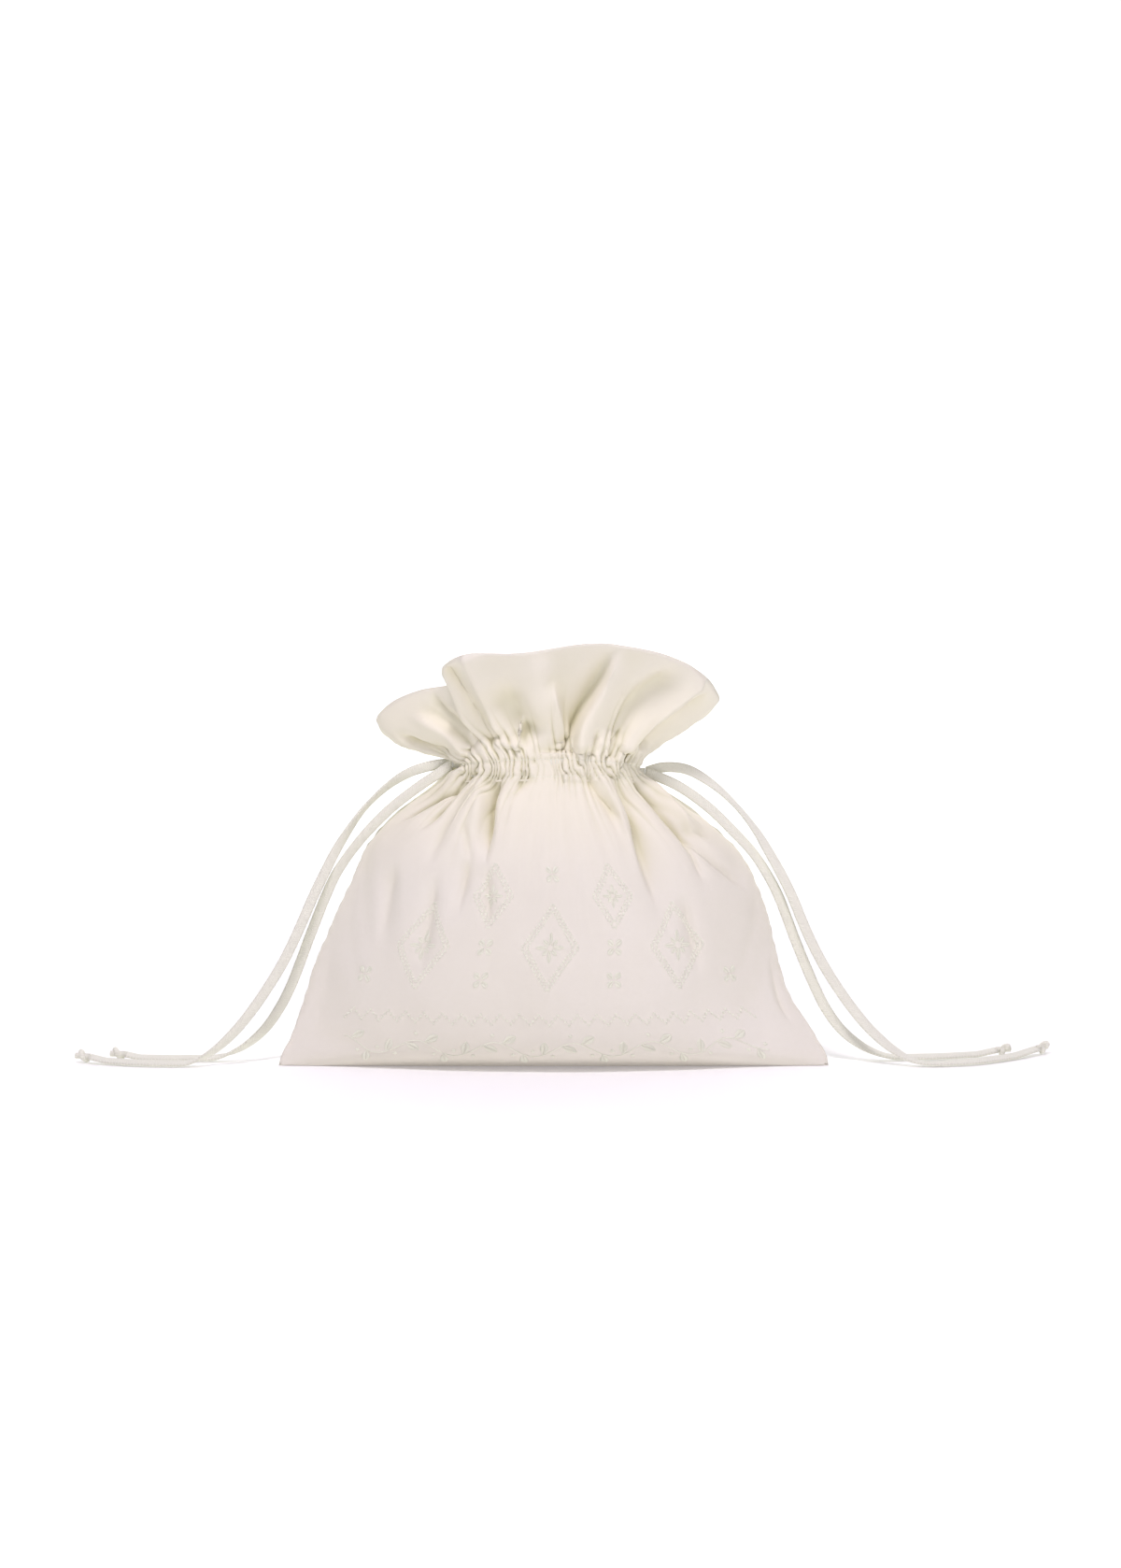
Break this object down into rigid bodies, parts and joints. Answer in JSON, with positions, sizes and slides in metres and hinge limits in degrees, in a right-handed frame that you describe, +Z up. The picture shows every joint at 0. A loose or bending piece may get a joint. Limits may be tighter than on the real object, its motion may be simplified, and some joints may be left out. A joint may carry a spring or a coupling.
{
  "type": "drawstring bag",
  "caption": "Gathered cloth drawstring bag standing on its base, with a ruffled mouth above the casing and knotted flat cords out at both sides.",
  "frame": {"origin": "on the resting base, under the middle of the bag", "axes": "+X to the right along the width, +Y from the front to the back, +Z up"},
  "size_m": [0.5396, 0.0994, 0.2327],
  "materials": {
    "cloth": "cream cotton sateen with a soft sheen",
    "cord": "greyish cream flat woven cord"
  },
  "bodies": {
    "root": {"front_panel": "cloth", "back_panel": "cloth", "casing": "cloth", "drawstring_left_loop": "cord", "drawstring_right_loop": "cord", "cord_left_upper": "cord", "cord_left_lower": "cord", "cord_right_upper": "cord", "cord_right_lower": "cord", "knot_left_upper": "cord", "knot_left_lower": "cord", "knot_right_upper": "cord", "knot_right_lower": "cord"}
  },
  "joints": []
}
